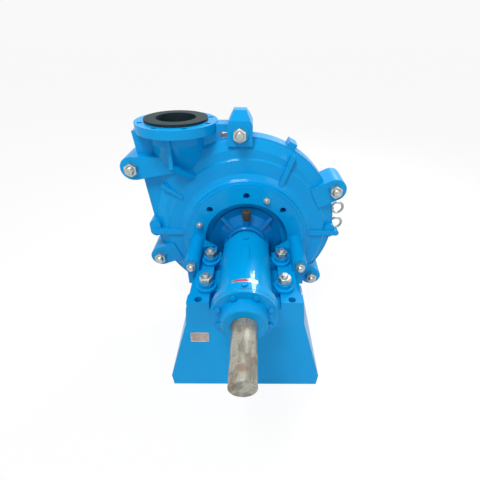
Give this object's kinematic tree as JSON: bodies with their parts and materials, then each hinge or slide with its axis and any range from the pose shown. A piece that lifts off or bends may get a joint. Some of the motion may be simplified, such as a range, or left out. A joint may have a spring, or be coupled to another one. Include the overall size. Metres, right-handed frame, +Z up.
{
  "type": "slurry pump",
  "caption": "Horizontal centrifugal slurry pump with split rubber-lined casing, upward discharge, bearing assembly clamped on a pedestal frame and bare drive shaft.",
  "frame": {"origin": "on the floor under the frame's feet, at the middle of the four hold-down holes, below the shaft axis", "axes": "+Z up, +Y from the drive end towards the suction along the shaft, +X to the right seen from the drive end"},
  "size_m": [0.9439, 1.06, 0.9718],
  "materials": {
    "blue_paint": "gloss enamel over casting",
    "lining_rubber": "moulded rubber",
    "plated_steel": "zinc plated",
    "packing": "braided packing",
    "bronze": "turned",
    "cup_metal": "dark oxide",
    "plate_metal": "bare plate",
    "brass_shim": "rolled",
    "bearing_steel": "ground",
    "machined_steel": "turned",
    "shaft_steel": "rust spotted, oiled",
    "hard_iron": "as cast"
  },
  "bodies": {
    "frame": {"frame": "blue_paint", "frame_plate": "blue_paint", "cover_plate": "blue_paint", "frame_plate_liner": "lining_rubber", "cover_plate_liner": "lining_rubber", "back_liner": "lining_rubber", "throatbush": "lining_rubber", "intake_joint": "lining_rubber", "casing_bolts": "plated_steel", "casing_nuts": "plated_steel", "ring_studs": "plated_steel", "ring_nuts": "plated_steel", "shoulder_studs": "plated_steel", "shoulder_nuts": "plated_steel", "eye_bolts": "plated_steel", "stuffing_box": "blue_paint", "packing_rings": "packing", "lantern_ring": "bronze", "gland_studs": "plated_steel", "grease_cup_body": "cup_metal", "clamp_washers": "blue_paint", "clamp_bolts": "plated_steel", "clamp_nuts": "plated_steel", "nameplate": "plate_metal", "nameplate_rivets": "plated_steel"},
    "bearing_assembly": {"bearing_housing": "blue_paint", "drive_end_cover": "blue_paint", "pump_end_cover": "blue_paint", "end_cover_shims": "brass_shim", "drive_cover_screws": "blue_paint", "pump_cover_screws": "blue_paint", "grease_retainers": "machined_steel", "housing_plugs": "plated_steel", "direction_plate": "plate_metal", "adjusting_screw": "plated_steel", "drive_bearing_cup": "bearing_steel", "pump_bearing_cup": "bearing_steel"},
    "rotor": {"shaft": "shaft_steel", "drive_bearing_cone": "bearing_steel", "pump_bearing_cone": "bearing_steel", "drive_labyrinth": "machined_steel", "pump_labyrinth": "machined_steel", "bearing_locknut": "machined_steel", "shaft_spacer": "machined_steel", "shaft_sleeve": "machined_steel", "shaft_o_ring": "lining_rubber", "impeller": "hard_iron"},
    "drive_roller_set": {"drive_bearing_rollers": "bearing_steel", "drive_bearing_cage": "bearing_steel"},
    "pump_roller_set": {"pump_bearing_rollers": "bearing_steel", "pump_bearing_cage": "bearing_steel"},
    "adjusting_nuts": {"adjusting_nuts": "plated_steel"},
    "gland": {"gland_halves": "blue_paint", "gland_nuts": "plated_steel"},
    "grease_cap": {"grease_cup_cap": "cup_metal"}
  },
  "joints": [
    {"name": "impeller_adjustment", "type": "slide", "parent": "frame", "child": "bearing_assembly", "axis": [0, 1, 0], "range_m": [-0.0025, 0.002]},
    {"name": "shaft_spin", "type": "hinge", "parent": "bearing_assembly", "child": "rotor", "pos_m": [0, -0.3, 0.457], "axis": [0, 1, 0], "continuous": true},
    {"name": "drive_rollers_spin", "type": "hinge", "parent": "bearing_assembly", "child": "drive_roller_set", "pos_m": [0, -0.28, 0.457], "axis": [0, 1, 0], "continuous": true},
    {"name": "pump_rollers_spin", "type": "hinge", "parent": "bearing_assembly", "child": "pump_roller_set", "pos_m": [0, -0.015, 0.457], "axis": [0, 1, 0], "continuous": true},
    {"name": "adjusting_nut_turn", "type": "hinge", "parent": "frame", "child": "adjusting_nuts", "pos_m": [0, -0.15, 0.315], "axis": [0, 1, 0], "range_deg": [-290, 365]},
    {"name": "gland_back_off", "type": "slide", "parent": "frame", "child": "gland", "axis": [0, -1, 0], "range_m": [0, 0.008]},
    {"name": "grease_cap_screw_down", "type": "slide", "parent": "frame", "child": "grease_cap", "axis": [0, 0, -1], "range_m": [0, 0.008]}
  ],
  "couplings": [
    {"joint": "drive_rollers_spin", "follows": "shaft_spin", "ratio": 0.4248},
    {"joint": "pump_rollers_spin", "follows": "shaft_spin", "ratio": 0.4248},
    {"joint": "adjusting_nut_turn", "follows": "impeller_adjustment", "rad_per_m": -2513.3}
  ]
}
